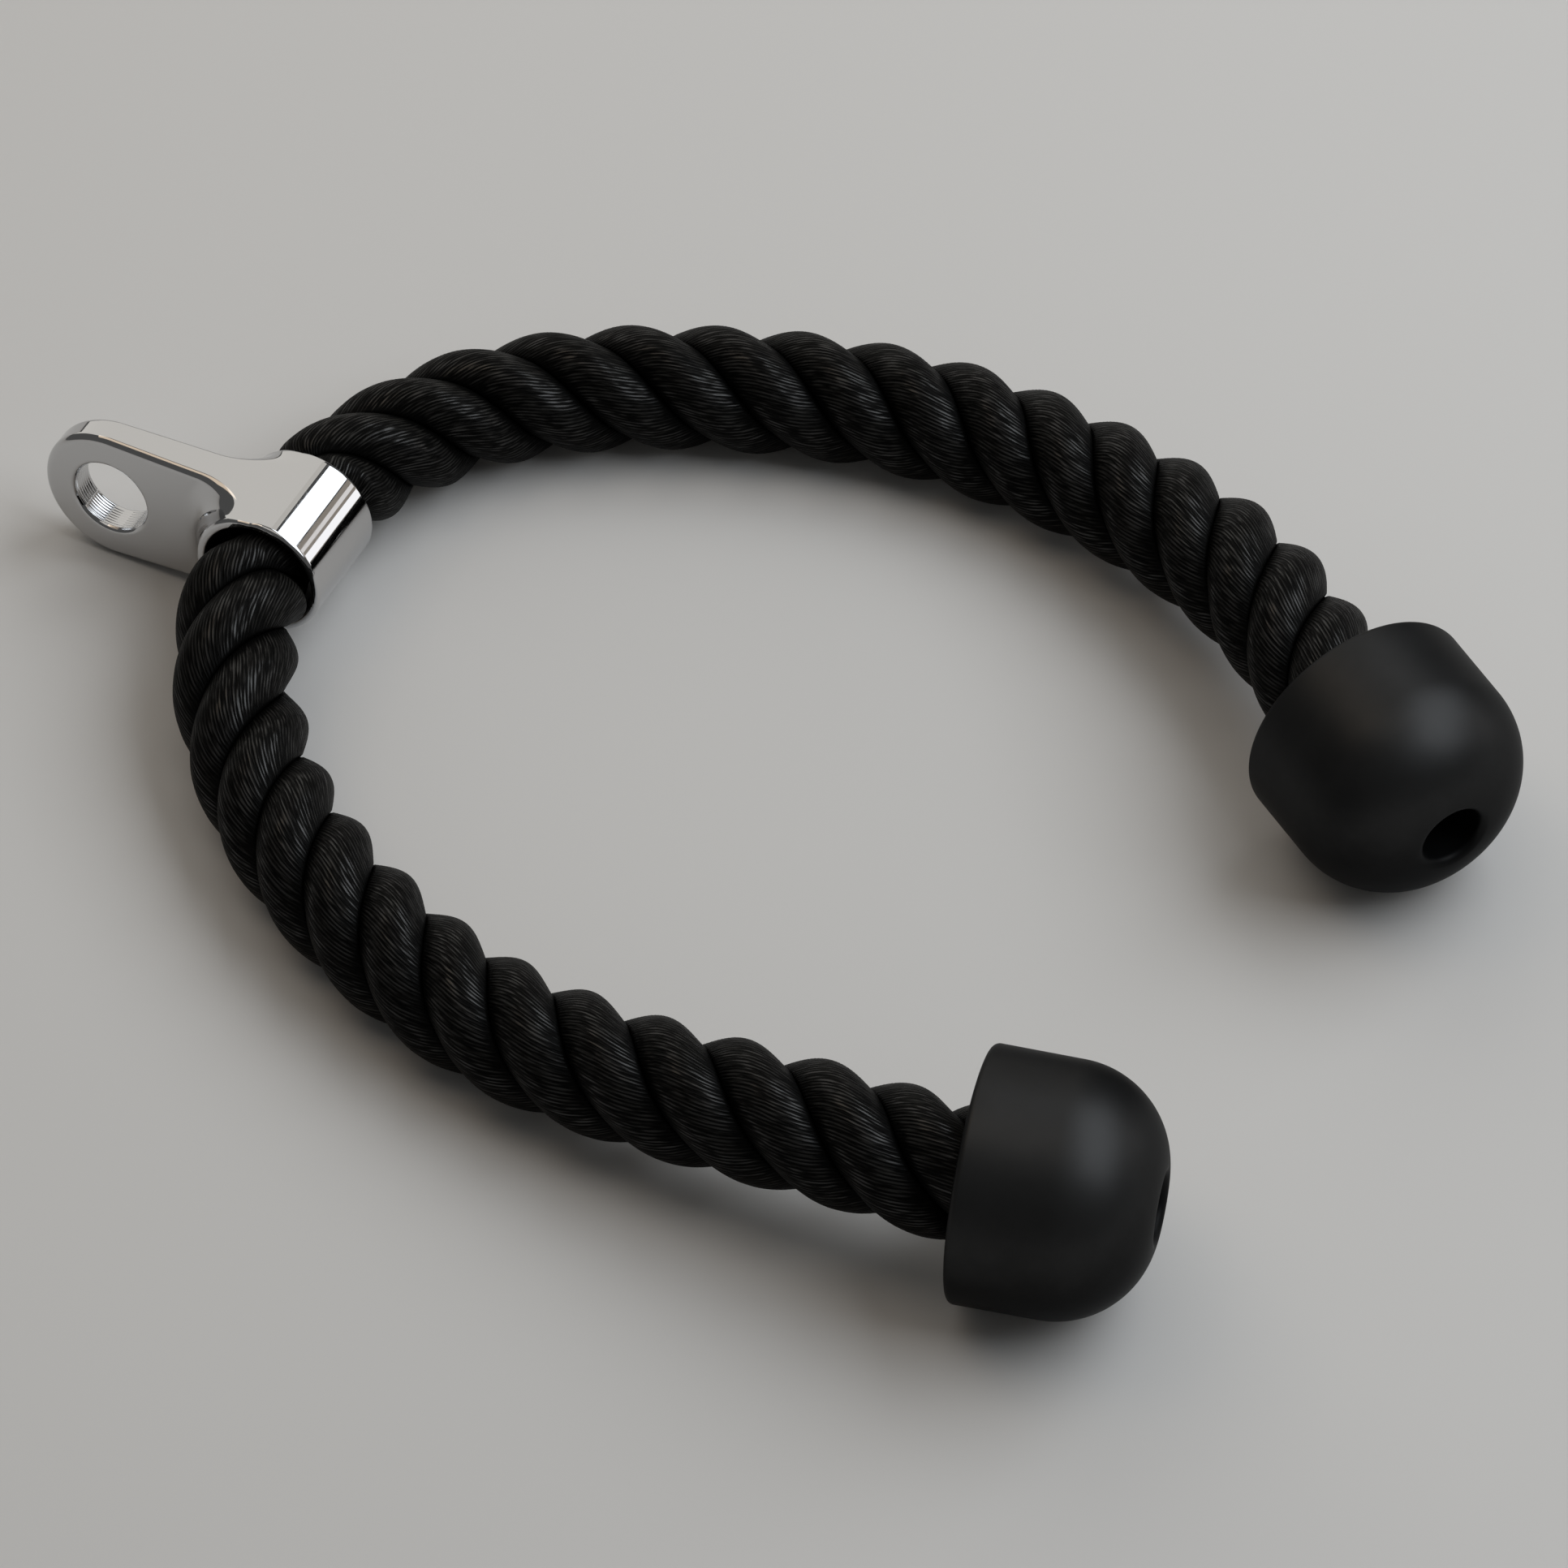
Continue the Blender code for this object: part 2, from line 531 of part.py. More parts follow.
def build():
    """Builds every piece."""
    for obj in list(bpy.data.objects):
        bpy.data.objects.remove(obj, do_unlink=True)
    mats = {
        "chrome": material("chrome_plate", (0.80, 0.80, 0.80), 1.0, 0.08),
        "rope": material("black_nylon", (0.020, 0.019, 0.018), 0.0, 0.60),
        "rubber": material("black_rubber", (0.012, 0.013, 0.014), 0.0, 0.45),
        "steel": material("zinc_steel", (0.45, 0.45, 0.44), 1.0, 0.35),
        "dark_steel": material("dark_steel", (0.05, 0.05, 0.05), 1.0, 0.50),
    }
    route = Route()
    collar_axis = hinge_empty("collar_axis", (*COLLAR_AT, TUBE_AXIS_HEIGHT))
    make_collar(mats["chrome"], collar_axis)
    near_place = route.point(-HINGE_STATION)
    far_place = route.point(HINGE_STATION)
    near_hinge = hinge_empty("near_hinge", near_place)
    far_hinge = hinge_empty("far_hinge", far_place)
    cup = HINGE_BALL_RADIUS + HINGE_GAP
    for number in range(STRANDS):
        label = "strand_%d_" % (number + 1)
        strand(route, label + "middle", number, (near_place, HINGE_BALL_RADIUS, -1),
               (far_place, HINGE_BALL_RADIUS, 1), mats["rope"], collar_axis)
        strand(route, label + "near", number, route.first - ROPE_IN_CAP, (near_place, cup, -1),
               mats["rope"], near_hinge)
        strand(route, label + "far", number, (far_place, cup, 1), route.last + ROPE_IN_CAP,
               mats["rope"], far_hinge)
    make_end(route, "near", near_hinge, mats)
    make_end(route, "far", far_hinge, mats)


build()
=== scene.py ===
"""The looks of a triceps rope: a black three-strand rope laid on the ground in a bow, through a chromed
collar with an eye, with a moulded rubber cap screwed onto each end."""

import math

import bmesh
import bpy
import numpy as np
from mathutils import Matrix, Vector


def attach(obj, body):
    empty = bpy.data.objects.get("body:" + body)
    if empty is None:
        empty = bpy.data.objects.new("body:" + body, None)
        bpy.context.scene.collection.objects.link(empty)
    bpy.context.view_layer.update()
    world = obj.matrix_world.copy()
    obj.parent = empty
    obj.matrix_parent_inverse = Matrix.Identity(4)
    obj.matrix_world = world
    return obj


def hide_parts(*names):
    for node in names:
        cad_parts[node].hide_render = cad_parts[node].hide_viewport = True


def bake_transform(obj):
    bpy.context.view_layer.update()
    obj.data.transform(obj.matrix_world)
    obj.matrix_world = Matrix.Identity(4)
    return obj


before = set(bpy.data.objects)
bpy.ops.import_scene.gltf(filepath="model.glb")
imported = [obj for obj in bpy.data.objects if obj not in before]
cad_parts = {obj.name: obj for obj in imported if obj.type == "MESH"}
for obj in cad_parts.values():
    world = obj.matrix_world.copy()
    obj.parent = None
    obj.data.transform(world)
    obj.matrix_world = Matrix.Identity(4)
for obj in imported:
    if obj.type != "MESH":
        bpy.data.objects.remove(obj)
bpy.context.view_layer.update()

# The setting: a pale studio floor seen from above through a long lens, under one wide soft lamp high on the
# right, with a cream wall behind on the left, a black flag between them and low strips. The chrome mirrors
# them all. Each lamp has its compass, its height angle, distance, width and height, brightness and colour.
FLOOR_RADIUS = 6.0
FLOOR_COLOUR = (0.66, 0.647, 0.63)
FLOOR_BOUNCE = (0.16, 0.155, 0.15)
CAMERA_PLACE = (0.5091, -1.0536, 1.3210)
CAMERA_TURN = (math.radians(41.5), 0, math.radians(25))
LENS = 176.07
LAMPS = (
    ("wide_soft_lamp", 36, 51, 1.8, (2.25, 1.35), 2.5, (0.90, 0.95, 1.0)),
    ("cream_wall", 129, 30, 1.9, (2.10, 1.95), 0.74, (1.0, 0.965, 0.90)),
    ("upper_strip", 44, 20, 1.8, (0.70, 0.16), 0.75, (0.96, 0.97, 1.0)),
    ("low_strip", 41, 8, 1.8, (0.70, 0.34), 1.35, (0.92, 0.95, 1.0)),
    ("tan_wall", 42, 14, 2.2, (1.30, 1.10), 0.28, (1.0, 0.86, 0.70)),
    ("warm_panel", 180, 60, 1.8, (0.85, 0.85), 0.9, (1.0, 0.80, 0.60)),
    ("ceiling_panel", 200, 86, 1.8, (1.10, 1.10), 0.6, (1.0, 0.95, 0.88)),
)
FLAG_DISTANCE = 1.7
FLAG_DIRECTION = 94
FLAG_SIZE = (0.24, 2.0)
FLAG_COLOUR = (0.01, 0.01, 0.01)
SKY_COLOUR = (0.70, 0.70, 0.69)
SKY_STRENGTH = 0.14

camera_data = bpy.data.cameras.new("camera")
camera_data.lens = LENS
camera_data.clip_start = 0.05
camera = bpy.data.objects.new("camera", camera_data)
camera.location = CAMERA_PLACE
camera.rotation_euler = CAMERA_TURN
bpy.context.scene.collection.objects.link(camera)
bpy.context.scene.camera = camera
bpy.context.scene.view_settings.view_transform = "Standard"


def towards(compass, rise):
    """The unit vector at that compass direction and height angle, both in degrees."""
    flat = math.cos(math.radians(rise))
    return Vector((flat * math.cos(math.radians(compass)), flat * math.sin(math.radians(compass)),
                   math.sin(math.radians(rise))))


for name, compass, rise, distance, (width, height), brightness, colour in LAMPS:
    lamp_data = bpy.data.lights.new(name, "AREA")
    lamp_data.shape = "RECTANGLE"
    lamp_data.size = width
    lamp_data.size_y = height
    lamp_data.energy = brightness * math.pi * width * height
    lamp_data.color = colour
    lamp = bpy.data.objects.new(name, lamp_data)
    lamp.location = towards(compass, rise) * distance
    lamp.rotation_euler = (-lamp.location).to_track_quat("-Z", "Y").to_euler()
    bpy.context.scene.collection.objects.link(lamp)


class Wire:
    """A node's output that can be reckoned with: each operator adds the Math node that works it out."""

    def __init__(self, tree, socket=None):
        self.tree = tree
        self.socket = socket

    def add(self, kind, settings=(), inputs=(), output=0):
        """Adds any other node: its settings first, then its inputs as numbers or as wires."""
        node = self.tree.nodes.new(kind)
        for name, value in dict(settings).items():
            if name == "stops":
                while len(node.color_ramp.elements) < len(value):
                    node.color_ramp.elements.new(1.0)
                for element, (position, colour) in zip(node.color_ramp.elements, value):
                    element.position = position
                    element.color = colour
            else:
                setattr(node, name, value)
        for name, value in dict(inputs).items():
            if isinstance(value, Wire):
                self.tree.links.new(value.socket, node.inputs[name])
            else:
                node.inputs[name].default_value = value
        return Wire(self.tree, node.outputs[output])

    def math(self, operation, *terms, clamp=False):
        """A Math node on this and the other terms."""
        inputs = {i: term for i, term in enumerate(terms)}
        return self.add("ShaderNodeMath", {"operation": operation, "use_clamp": clamp}, inputs)

    def __add__(self, other):
        return self.math("ADD", self, other)

    def __sub__(self, other):
        return self.math("SUBTRACT", self, other)

    def __rsub__(self, other):
        return self.math("SUBTRACT", other, self)

    def __mul__(self, other):
        return self.math("MULTIPLY", self, other)

    def __rmul__(self, other):
        return self.math("MULTIPLY", other, self)

    def __truediv__(self, other):
        return self.math("DIVIDE", self, other)

    def __abs__(self):
        return self.math("ABSOLUTE", self)

    def __neg__(self):
        return self.math("MULTIPLY", self, -1.0)

    def eased(self, low, high, start=0.0, end=1.0):
        """Eases from start to end while this runs from low to high."""
        return self.add("ShaderNodeMapRange", {"interpolation_type": "SMOOTHSTEP"},
                        {"Value": self, "From Min": low, "From Max": high, "To Min": start, "To Max": end})


def finish_of(name, colour, roughness, metallic=0.0):
    """A new material with its plain values, its shader and a wire to add nodes with."""
    finish = bpy.data.materials.new(name)
    finish.use_nodes = True
    shader = finish.node_tree.nodes["Principled BSDF"]
    shader.inputs["Base Color"].default_value = (*colour, 1.0)
    shader.inputs["Roughness"].default_value = roughness
    shader.inputs["Metallic"].default_value = metallic
    return finish, shader, Wire(finish.node_tree)


def feed(shader, name, wire):
    """Leads a wire into one of the shader's sockets."""
    wire.tree.links.new(wire.socket, shader.inputs[name])


floor_finish, floor_shader, nodes = finish_of("floor_paint", FLOOR_COLOUR, 0.75)
floor_shader.inputs["Specular IOR Level"].default_value = 0.1
ray = nodes.add("ShaderNodeLightPath", output="Is Camera Ray")
for look in ("Is Glossy Ray", "Is Transmission Ray"):
    ray = ray.math("MAXIMUM", ray, nodes.add("ShaderNodeLightPath", output=look))
feed(floor_shader, "Base Color", nodes.add("ShaderNodeMix", {"data_type": "RGBA"}, {
    "Factor": ray, "A": (*FLOOR_BOUNCE, 1.0), "B": (*FLOOR_COLOUR, 1.0)}, "Result"))
floor_mesh = bpy.data.meshes.new("floor")
floor_bm = bmesh.new()
bmesh.ops.create_circle(floor_bm, cap_ends=True, segments=64, radius=FLOOR_RADIUS)
floor_bm.to_mesh(floor_mesh)
floor_bm.free()
floor_mesh.materials.append(floor_finish)
floor = bpy.data.objects.new("floor", floor_mesh)
bpy.context.scene.collection.objects.link(floor)

flag_finish = finish_of("flag_cloth", FLAG_COLOUR, 0.9)[0]
flag_bm = bmesh.new()
bmesh.ops.create_grid(flag_bm, x_segments=1, y_segments=1, size=0.5)
flag_mesh = bpy.data.meshes.new("flag")
flag_bm.to_mesh(flag_mesh)
flag_bm.free()
flag_mesh.transform(Matrix.Diagonal((FLAG_SIZE[0], FLAG_SIZE[1], 1, 1)))
flag_mesh.transform(towards(FLAG_DIRECTION, 0).to_track_quat("-Z", "Y").to_matrix().to_4x4())
flag_middle = towards(FLAG_DIRECTION, 0) * FLAG_DISTANCE + Vector((0, 0, FLAG_SIZE[1] / 2))
flag_mesh.transform(Matrix.Translation(flag_middle))
flag_mesh.materials.append(flag_finish)
flag = bpy.data.objects.new("flag", flag_mesh)
bpy.context.scene.collection.objects.link(flag)

sky = bpy.data.worlds.new("studio_air")
sky.use_nodes = True
sky.node_tree.nodes["Background"].inputs["Color"].default_value = (*SKY_COLOUR, 1.0)
sky.node_tree.nodes["Background"].inputs["Strength"].default_value = SKY_STRENGTH
bpy.context.scene.world = sky

# The rope: three strands of black multifilament nylon laid up right-handed, heat-set and stiff enough to
# keep its bow. It passes the collar, where it is squeezed, and each end is gripped in a rubber cap.
STRANDS = 3
ROPE_LAY = 0.060
ROPE_RADIUS_MIDDLE = 0.0145
ROPE_RADIUS_END = 0.0158
ROPE_HEART_RADIUS = 0.0019
STRAND_ARC_SHARE = 0.365
STRAND_ANGLE = math.radians(34.5)
COLLAR_UNTWIST = math.radians(32.0)
TUBE_LENGTH = 0.028
HALF_TUBE = TUBE_LENGTH / 2
TUBE_SQUEEZE = 0.0020
SQUEEZE_RUN = 0.007
TUBE_TILT = math.radians(4.5)
TUBE_AXIS_HEIGHT = 0.019678
SETTLE_LENGTH = 0.060
BEND_END = 0.095
RISE_LENGTH = 0.135
CAP_MOUTH_RADIUS = 0.0286
ROPE_IN_CAP = 0.0219
CRIMP_START = 0.0109
CRIMPED_RADIUS = 0.0140
GROUND_CLEARANCE = 0.0002
ROUTE_STEP = 0.001
HALVES_GAP = 0.0002
FIBRE_LEAN = 0.86
HAIR_STRETCH = (2500, 210, 11)
CLUMP_STRETCH = (700, 50, 17)
BREAK_STRETCH = (1100, 190, 5)
YARN_PITCH = 0.00085
YARN_WANDER = 4.0
YARN_BREAKS = 0.20
YARN_SHARE = 0.54
HAIR_SHARE = 0.56
CLUMP_SHARE = 0.10
CREST_FLOOR = 0.08
# The strands are painted darker towards their valleys: where that painted shade starts and how much of the
# fibres' tone and coat it keeps.
HOLLOW_START = 0.66
HOLLOW_LIGHT = 0.6
FIBRE_DARK = (0.0006, 0.0006, 0.0005, 1)
FIBRE_PALE = (0.0150, 0.0143, 0.0130, 1)
FIBRE_SHEEN = 0.9
END_SHARE = 0.0001
STRAND_SHIFT = 7.0
ROUTE = (
    (0.1095, -0.1016), (0.1013, -0.1030), (0.0914, -0.1032), (0.0752, -0.1032), (0.0529, -0.1035),
    (0.0303, -0.1028), (0.0079, -0.1007), (-0.0140, -0.0963), (-0.0351, -0.0893), (-0.0556, -0.0796),
    (-0.0746, -0.0672), (-0.0888, -0.0545), (-0.1003, -0.0414), (-0.1077, -0.0296), (-0.1125, -0.0176),
    (-0.1149, -0.0074), (-0.1149, 0.0011), (-0.1149, 0.0096), (-0.1149, 0.0181), (-0.1149, 0.0266),
    (-0.1115, 0.0426), (-0.1053, 0.0572), (-0.0964, 0.0700), (-0.0792, 0.0843), (-0.0599, 0.0952),
    (-0.0388, 0.1037), (-0.0175, 0.1099), (0.0050, 0.1132), (0.0272, 0.1127), (0.0491, 0.1083),
    (0.0703, 0.1006), (0.0900, 0.0907), (0.1047, 0.0807), (0.1169, 0.0701), (0.1269, 0.0614),
    (0.1342, 0.0560),
)
COLLAR_POINT = 17


def ease(share):
    """Eases from 0 to 1."""
    share = np.clip(share, 0, 1)
    return share * share * (3 - 2 * share)


def smooth_line(points, step):
    """A cubic spline through the points, free at both ends, and each point's distance along it."""
    knots = np.array(points)
    chord = np.concatenate([[0], np.cumsum(np.linalg.norm(np.diff(knots, axis=0), axis=1))])
    span = np.diff(chord)
    count = len(chord)
    matrix = np.eye(count)
    right = np.zeros(knots.shape)
    slope = np.diff(knots, axis=0) / span[:, None]
    for i in range(1, count - 1):
        matrix[i, i - 1:i + 2] = span[i - 1], 2 * (span[i - 1] + span[i]), span[i]
        right[i] = 6 * (slope[i] - slope[i - 1])
    bend = np.linalg.solve(matrix, right)
    at = np.linspace(0, chord[-1], int(chord[-1] / step) + 1)
    i = np.clip(np.searchsorted(chord, at) - 1, 0, count - 2)
    t = (at - chord[i])[:, None]
    first = slope[i] - span[i][:, None] * (2 * bend[i] + bend[i + 1]) / 6
    curl = (bend[i + 1] - bend[i]) / (6 * span[i][:, None])
    return knots[i] + t * (first + t * (bend[i] / 2 + t * curl)), np.interp(chord, at, at)


plan, knots_at = smooth_line(ROUTE, ROUTE_STEP)
distance = np.concatenate([[0], np.cumsum(np.linalg.norm(np.diff(plan, axis=0), axis=1))])
spread = np.linspace(0, knots_at[-1], len(plan))
station = distance - np.interp(knots_at[COLLAR_POINT], spread, distance)
near_mouth, far_mouth = station[0], station[-1]
longest_arm = max(far_mouth, -near_mouth) - HALF_TUBE


def rope_radius(s):
    """The rope's outside radius: squeezed in the tube and under each crimp ring."""
    run = np.clip((np.abs(s) - HALF_TUBE) / longest_arm, 0, 1)
    radius = ROPE_RADIUS_MIDDLE + (ROPE_RADIUS_END - ROPE_RADIUS_MIDDLE) * run
    radius = radius - TUBE_SQUEEZE * ease(1 - (np.abs(s) - HALF_TUBE) / SQUEEZE_RUN)
    in_cap = np.maximum(s - far_mouth, near_mouth - s)
    return radius + (CRIMPED_RADIUS - radius) * ease(in_cap / CRIMP_START)


def middle_line(s):
    """Points of the rope's middle line at those stations; past the cap mouths it runs on straight."""
    inside = np.clip(s, near_mouth, far_mouth)
    place = np.column_stack([np.interp(inside, station, plan[:, axis]) for axis in (0, 1)])
    for end, before, reach in ((0, 1, near_mouth), (-1, -2, far_mouth)):
        outward = (plan[end] - plan[before]) / np.linalg.norm(plan[end] - plan[before])
        beyond = np.maximum(s - reach, 0) if end else np.maximum(reach - s, 0)
        place = place + beyond[:, None] * outward
    lying = rope_radius(inside) + GROUND_CLEARANCE
    in_tube = TUBE_AXIS_HEIGHT - inside * math.tan(TUBE_TILT)
    lying = lying + (in_tube - lying) * ease(1 - (np.abs(inside) - HALF_TUBE) / SETTLE_LENGTH)
    to_cap = np.minimum(inside - near_mouth, far_mouth - inside)
    height = lying + (CAP_MOUTH_RADIUS - lying) * ease(1 - to_cap / RISE_LENGTH)
    return np.column_stack([place, height])


rope_tree = bpy.data.node_groups.new("laid_rope", "GeometryNodeTree")
rope_tree.interface.new_socket("Geometry", in_out="INPUT", socket_type="NodeSocketGeometry")
rope_tree.interface.new_socket("Geometry", in_out="OUTPUT", socket_type="NodeSocketGeometry")
ROPE_INPUTS = {
    "Strands": ("NodeSocketInt", STRANDS),
    "Points Round": ("NodeSocketInt", 56),
    "Rows": ("NodeSocketInt", 320),
    "Lay": ("NodeSocketFloat", ROPE_LAY),
    "Heart Radius": ("NodeSocketFloat", ROPE_HEART_RADIUS),
    "Arc Share": ("NodeSocketFloat", STRAND_ARC_SHARE),
    "Heart Share": ("NodeSocketFloat", 0.08),
    "Corner Round": ("NodeSocketFloat", 0.0009),
    "Valley Share": ("NodeSocketFloat", 0.37),
    "Strand Gap": ("NodeSocketFloat", 0.00012),
    "Strand Angle": ("NodeSocketFloat", STRAND_ANGLE),
    "Collar Untwist": ("NodeSocketFloat", COLLAR_UNTWIST),
    "Half Tube": ("NodeSocketFloat", HALF_TUBE),
    "Fibre Lean": ("NodeSocketFloat", FIBRE_LEAN),
    "Yarn Relief": ("NodeSocketFloat", 0.00013),
    "Yarn Width": ("NodeSocketFloat", 0.0016),
    "Yarn Length": ("NodeSocketFloat", 0.030),
    "Seed": ("NodeSocketFloat", 3.0),
}
rope_sockets = {}
for name, (kind, value) in ROPE_INPUTS.items():
    rope_sockets[name] = rope_tree.interface.new_socket(name, in_out="INPUT", socket_type=kind)
group_in = rope_tree.nodes.new("NodeGroupInput")
group_out = rope_tree.nodes.new("NodeGroupOutput")
given = {socket.name: Wire(rope_tree, socket) for socket in group_in.outputs if socket.name}
knot = Wire(rope_tree)

route_curve = knot.add("GeometryNodeMeshToCurve", {}, {"Mesh": given["Geometry"]})
sheet = knot.add("GeometryNodeMeshGrid", {}, {
    "Size X": 1.0, "Size Y": 1.0, "Vertices X": given["Points Round"], "Vertices Y": given["Rows"]})
starts = knot.add("GeometryNodeMeshLine", {}, {"Count": given["Strands"], "Offset": (0, 0, 0)})
sheets = knot.add("GeometryNodeInstanceOnPoints", {}, {"Points": starts, "Instance": sheet})
numbered = knot.add("GeometryNodeStoreNamedAttribute", {"domain": "INSTANCE", "data_type": "FLOAT"}, {
    "Geometry": sheets, "Name": "strand", "Value": knot.add("GeometryNodeInputIndex")})
sheets = knot.add("GeometryNodeRealizeInstances", {}, {"Geometry": numbered})

round_share = knot.add("ShaderNodeSeparateXYZ", {}, {"Vector": knot.add("GeometryNodeInputPosition")})
along_share = Wire(rope_tree, round_share.socket.node.outputs["Y"]) + 0.5
number = knot.add("GeometryNodeInputNamedAttribute", {"data_type": "FLOAT"}, {"Name": "strand"})
here = knot.add("GeometryNodeSampleCurve", {"mode": "FACTOR", "data_type": "FLOAT"}, {
    "Curves": route_curve, "Factor": along_share,
    "Value": knot.add("GeometryNodeInputNamedAttribute", {"data_type": "FLOAT"}, {"Name": "station"})})
centre = Wire(rope_tree, here.socket.node.outputs["Position"])
tangent = Wire(rope_tree, here.socket.node.outputs["Tangent"])
width_here = knot.add("GeometryNodeSampleCurve", {"mode": "FACTOR", "data_type": "FLOAT"}, {
    "Curves": route_curve, "Factor": along_share,
    "Value": knot.add("GeometryNodeInputNamedAttribute", {"data_type": "FLOAT"}, {"Name": "outer"})})

half_sector = math.pi / STRANDS
middle = width_here * given["Arc Share"]
arc_radius = width_here - middle
last_turn = knot.math("ARCCOSINE", (given["Heart Radius"] - middle) / arc_radius)
from_heart = 1 - 2 * abs(round_share)
to_heart = knot.math("DIVIDE", from_heart, given["Heart Share"], clamp=True)
turn = last_turn * knot.math("DIVIDE", 1 - from_heart, 1 - given["Heart Share"], clamp=True)
hand = knot.math("SIGN", -round_share)
lean = given["Fibre Lean"] * 2 * math.pi * width_here / given["Lay"]
across_fibre = arc_radius * turn * hand - lean * here
yarn_place = knot.add("ShaderNodeCombineXYZ", {}, {
    "X": across_fibre / given["Yarn Width"], "Y": here / given["Yarn Length"], "Z": number * STRAND_SHIFT})
yarn = knot.add("ShaderNodeTexNoise", {"noise_dimensions": "4D"}, {
    "Vector": yarn_place, "W": given["Seed"], "Scale": 1.0, "Detail": 1.0, "Roughness": 0.5})
relief = (yarn - 0.5) * 2 * given["Yarn Relief"]
past_start = knot.math("GREATER_THAN", along_share, END_SHARE)
whole = past_start * knot.math("LESS_THAN", along_share, 1 - END_SHARE)
along = middle + whole * (arc_radius + relief) * knot.math("COSINE", turn)
reach = (arc_radius + relief) * knot.math("SINE", turn)
limit = along * math.tan(half_sector) - given["Strand Gap"] / (2 * math.cos(half_sector))
pressed = knot.math("SMOOTH_MIN", reach, limit, given["Corner Round"])
across = whole * to_heart * knot.math("MAXIMUM", pressed, 0.0) * hand

untwist = given["Collar Untwist"] * (here.eased(-given["Half Tube"], given["Half Tube"]) - 1)
angle = given["Strand Angle"] + untwist + 2 * math.pi * (number / STRANDS - here / given["Lay"])
side = knot.add("ShaderNodeVectorMath", {"operation": "CROSS_PRODUCT"}, {0: tangent, 1: (0, 0, 1)})
side = knot.add("ShaderNodeVectorMath", {"operation": "NORMALIZE"}, {0: side})
up = knot.add("ShaderNodeVectorMath", {"operation": "CROSS_PRODUCT"}, {0: side, 1: tangent})
to_side = along * knot.math("COSINE", angle) - across * knot.math("SINE", angle)
to_up = along * knot.math("SINE", angle) + across * knot.math("COSINE", angle)
place = knot.add("ShaderNodeVectorMath", {"operation": "MULTIPLY_ADD"}, {0: side, 1: to_side, 2: centre})
place = knot.add("ShaderNodeVectorMath", {"operation": "MULTIPLY_ADD"}, {0: up, 1: to_up, 2: place})

marked = knot.add("GeometryNodeStoreNamedAttribute", {"domain": "POINT", "data_type": "FLOAT_VECTOR"}, {
    "Geometry": sheets, "Name": "fibre",
    "Value": knot.add("ShaderNodeCombineXYZ", {}, {"X": across_fibre, "Y": here, "Z": number})})
valley_turn = knot.math("ARCCOSINE", (given["Valley Share"] * width_here - middle) / arc_radius)
marked = knot.add("GeometryNodeStoreNamedAttribute", {"domain": "POINT", "data_type": "FLOAT"}, {
    "Geometry": marked, "Name": "hollow", "Value": turn / valley_turn})
laid = knot.add("GeometryNodeSetPosition", {}, {"Geometry": marked, "Position": place})
laid = knot.add("GeometryNodeMergeByDistance", {}, {"Geometry": laid, "Distance": 0.000002})
laid = knot.add("GeometryNodeSetShadeSmooth", {}, {"Geometry": laid, "Shade Smooth": True})
laid = knot.add("GeometryNodeRealizeInstances", {}, {"Geometry": laid})

rope_finish, rope_shader, nodes = finish_of("black_nylon_fibre", (0.006, 0.006, 0.0055), 0.5)
fibre = nodes.add("ShaderNodeAttribute", {"attribute_name": "fibre"}, output="Vector")
stretched = nodes.add("ShaderNodeVectorMath", {"operation": "MULTIPLY"}, {0: fibre, 1: HAIR_STRETCH})
hair = nodes.add("ShaderNodeTexNoise", {}, {
    "Vector": stretched, "Scale": 1.0, "Detail": 2.0, "Roughness": 0.5})
clumped = nodes.add("ShaderNodeVectorMath", {"operation": "MULTIPLY"}, {0: fibre, 1: CLUMP_STRETCH})
clump = nodes.add("ShaderNodeTexNoise", {}, {
    "Vector": clumped, "Scale": 1.0, "Detail": 2.0, "Roughness": 0.5})
yarn_turn = nodes.add("ShaderNodeSeparateXYZ", {}, {"Vector": fibre}) * (2 * math.pi / YARN_PITCH)
yarn_line = nodes.math("SINE", yarn_turn + (clump - 0.5) * YARN_WANDER) * 0.5 + 0.5
parted = nodes.add("ShaderNodeVectorMath", {"operation": "MULTIPLY"}, {0: fibre, 1: BREAK_STRETCH})
broken = nodes.add("ShaderNodeTexNoise", {}, {
    "Vector": parted, "Scale": 1.0, "Detail": 1.0, "Roughness": 0.5})
yarns = yarn_line * (broken - YARN_BREAKS) * YARN_SHARE
crest = hair * HAIR_SHARE + yarns + clump * CLUMP_SHARE + CREST_FLOOR
# Towards each strand's valley the fibres' colour and coat are turned down: painted shade in the creases
# between strands.
hollow = nodes.add("ShaderNodeAttribute", {"attribute_name": "hollow"}, output="Fac")
open_to_light = hollow.eased(HOLLOW_START, 1.0, 1.0, 0.0)
lit = crest * (open_to_light * (1 - HOLLOW_LIGHT) + HOLLOW_LIGHT)
feed(rope_shader, "Base Color", nodes.add("ShaderNodeValToRGB", {
    "stops": ((0.43, FIBRE_DARK), (0.60, FIBRE_PALE))}, {"Fac": lit}))
turned_away = nodes.add("ShaderNodeLayerWeight", {}, {"Blend": 0.5}, "Facing")
sheen = crest.eased(0.49, 0.67, 0.0, FIBRE_SHEEN)
feed(rope_shader, "Coat Weight", sheen * (1 - turned_away) * open_to_light)
feed(rope_shader, "Normal", nodes.add("ShaderNodeBump", {}, {
    "Strength": 0.8, "Distance": 0.0004, "Height": crest * 2}))
rope_shader.inputs["Specular IOR Level"].default_value = 0.05
rope_shader.inputs["Coat Roughness"].default_value = 0.26
laid = knot.add("GeometryNodeSetMaterial", {}, {"Geometry": laid, "Material": rope_finish})
rope_tree.links.new(laid.socket, group_out.inputs["Geometry"])

